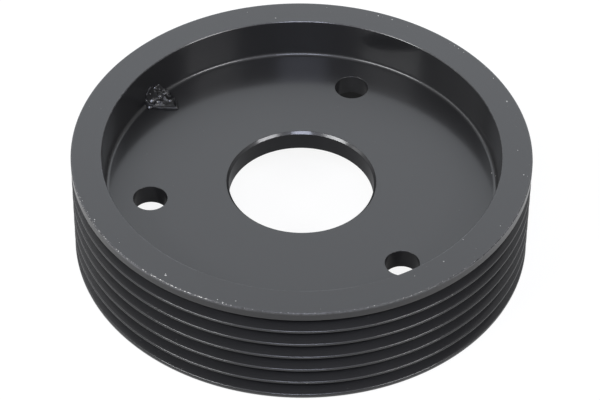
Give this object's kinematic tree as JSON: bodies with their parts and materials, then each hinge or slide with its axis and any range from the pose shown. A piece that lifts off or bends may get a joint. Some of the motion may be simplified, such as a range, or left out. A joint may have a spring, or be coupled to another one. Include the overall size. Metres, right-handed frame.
{
  "type": "power steering pump pulley",
  "caption": "Belt pulley turned from one piece: a deep rim with a ribbed-belt track, a flat web, a centre pilot bore and a ring of bolt holes. It drives a power steering pump.",
  "frame": {"origin": "on the pulley's axis, in the plane of the rear face of the rim, on which it stands", "axes": "+Z along the axis towards the front, +X to the right of the picture's view, +Y away from its camera"},
  "size_m": [0.0944, 0.0944, 0.0245],
  "materials": {
    "black_paint": "semi-gloss black paint on steel, with small chips along the edges of the rim",
    "bare_steel": "bright steel where the paint is chipped off the edges"
  },
  "bodies": {
    "root": {"pulley": "black_paint"}
  },
  "joints": []
}
